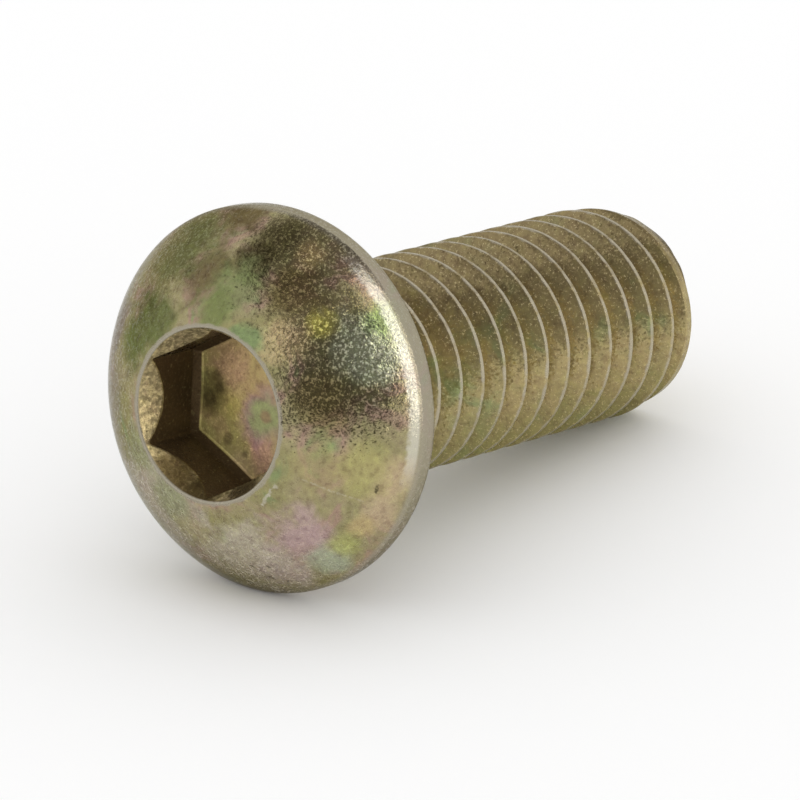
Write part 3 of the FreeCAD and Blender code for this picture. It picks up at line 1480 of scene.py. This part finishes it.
@dataclass
class Studio:
    """The floor, the white surroundings, the soft boxes and the camera."""

    white: tuple = (1.0, 1.0, 1.0, 1.0)
    floor_size: float = 4.0
    world_level: float = 1.0
    sensor_mm: float = 36.0
    lens_mm: float = 401.6
    sight_m: tuple = (0.01, 20.0)
    azimuth_deg: float = -53.25
    elevation_deg: float = 22.45
    eye_mm: tuple = (-180.583, -134.207, 95.926)

    def surroundings(self) -> None:
        """Makes the surroundings white."""
        world = bpy.data.worlds.new("white_studio")
        bpy.context.scene.world = world
        world.use_nodes = True
        bench = Bench(world.node_tree)
        light = bench.node("ShaderNodeBackground")
        light.inputs["Color"].default_value = self.white
        light.inputs["Strength"].default_value = self.world_level
        done = bench.node("ShaderNodeOutputWorld")
        bench.feed(done.inputs["Surface"], light.outputs[0])

    def floor(self) -> bpy.types.Object:
        """Returns: the plain pale floor."""
        mesh = bmesh.new()
        bmesh.ops.create_grid(mesh, x_segments=1, y_segments=1, size=self.floor_size / 2)
        data = bpy.data.meshes.new("floor")
        mesh.to_mesh(data)
        mesh.free()
        material, bench = new_material("pale_floor")
        matt = bench.node("ShaderNodeBsdfDiffuse")
        matt.inputs["Color"].default_value = self.white
        bench.finish(matt.outputs[0])
        data.materials.append(material)
        return self.put("floor", data)

    def put(self, name: str, data: bpy.types.Mesh) -> bpy.types.Object:
        """Puts a mesh on the stage.

        Args:
            name: the object's name.
            data: its mesh.

        Returns: the staged object.
        """
        thing = bpy.data.objects.new(name, data)
        bpy.context.scene.collection.objects.link(thing)
        return thing

    def card(self, card: Card) -> bpy.types.Object:
        """Sets up a card, which only shows in the metal's reflections.

        Args:
            card: what it is like.

        Returns: the staged card.
        """
        mesh = bmesh.new()
        bmesh.ops.create_grid(mesh, x_segments=1, y_segments=1, size=0.5)
        bmesh.ops.scale(mesh, vec=(*card.size(), 1.0), verts=mesh.verts[:])
        bmesh.ops.transform(mesh, matrix=card.spot(), verts=mesh.verts[:])
        data = bpy.data.meshes.new(card.name)
        mesh.to_mesh(data)
        mesh.free()
        data.materials.append(card.glow())
        thing = self.put(card.name, data)
        thing.visible_camera = False
        thing.visible_diffuse = False
        thing.visible_shadow = False
        thing.visible_transmission = False
        return thing

    def camera(self) -> bpy.types.Object:
        """Returns: the camera at the photograph's angle."""
        lens = bpy.data.cameras.new("camera")
        lens.sensor_width = self.sensor_mm
        lens.lens = self.lens_mm
        lens.clip_start, lens.clip_end = self.sight_m
        eye = bpy.data.objects.new("camera", lens)
        azimuth, elevation = math.radians(self.azimuth_deg), math.radians(self.elevation_deg)
        back = Vector(
            (
                math.sin(azimuth) * math.cos(elevation),
                -math.cos(azimuth) * math.cos(elevation),
                math.sin(elevation),
            )
        )
        eye.rotation_mode = "QUATERNION"
        eye.rotation_quaternion = (-back).to_track_quat("-Z", "Y")
        eye.location = Vector(self.eye_mm) * MM
        bpy.context.scene.collection.objects.link(eye)
        bpy.context.scene.camera = eye
        return eye

    def build(self) -> None:
        """Sets the whole studio up."""
        self.surroundings()
        self.floor()
        for card in CARDS:
            self.card(card)
        self.camera()


def main() -> None:
    """Builds the studio and the screw, and ties the screw to the frame."""
    logging.basicConfig(level=logging.INFO, format="%(name)s: %(message)s")
    bpy.context.scene.view_settings.view_transform = "Standard"
    Studio().build()
    screw = ButtonHeadScrew().build()
    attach(screw, "root")
    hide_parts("screw")
    log.info("piece %s rides on root", screw.name)


if __name__ == "__main__":
    main()
